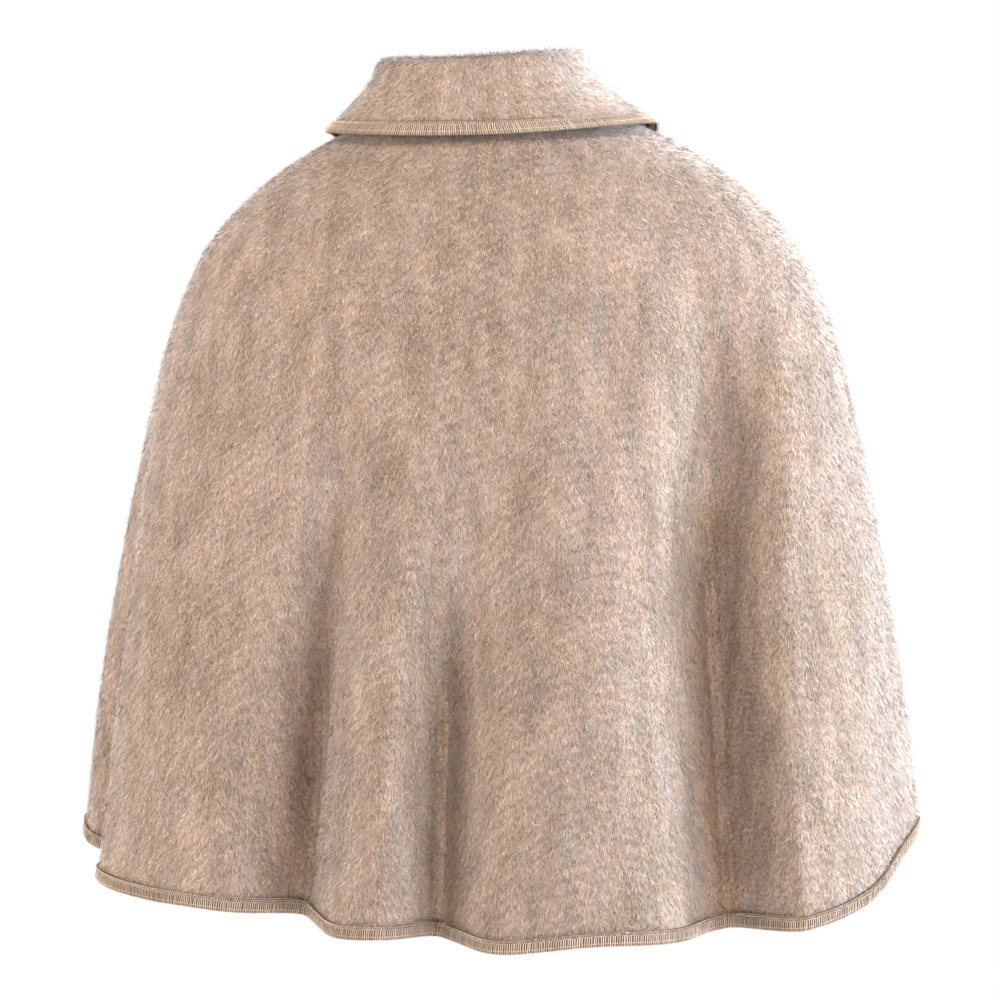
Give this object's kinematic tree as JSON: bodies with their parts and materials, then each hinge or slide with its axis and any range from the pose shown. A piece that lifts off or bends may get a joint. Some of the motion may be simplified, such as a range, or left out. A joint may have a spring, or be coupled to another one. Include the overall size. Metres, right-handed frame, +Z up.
{
  "type": "wool cape",
  "caption": "Short brushed-wool cape with a turned-down collar, soft hem folds and whipped edges, open at neck, front and hem.",
  "frame": {"origin": "middle of the neck opening, at the height where the collar's seam crosses the shoulders, where the wearer's neck holds the cape", "axes": "+Z up along the neck, -Y the way the wearer faces, +Y the back that the picture shows, +X the wearer's left"},
  "size_m": [0.6385, 0.3892, 0.6485],
  "materials": {
    "wool": "brushed mohair-like wool, beige melange with soft pink, grey and ochre patches, long nap lying downwards",
    "edge_thread": "close whipped bars of matt thread over the edge, with two needle rows above them"
  },
  "bodies": {
    "root": {"back": "wool", "front_right": "wool", "front_left": "wool", "collar": "wool", "back_edging": "edge_thread", "front_right_edging": "edge_thread", "front_left_edging": "edge_thread", "collar_edging": "edge_thread"}
  },
  "joints": []
}
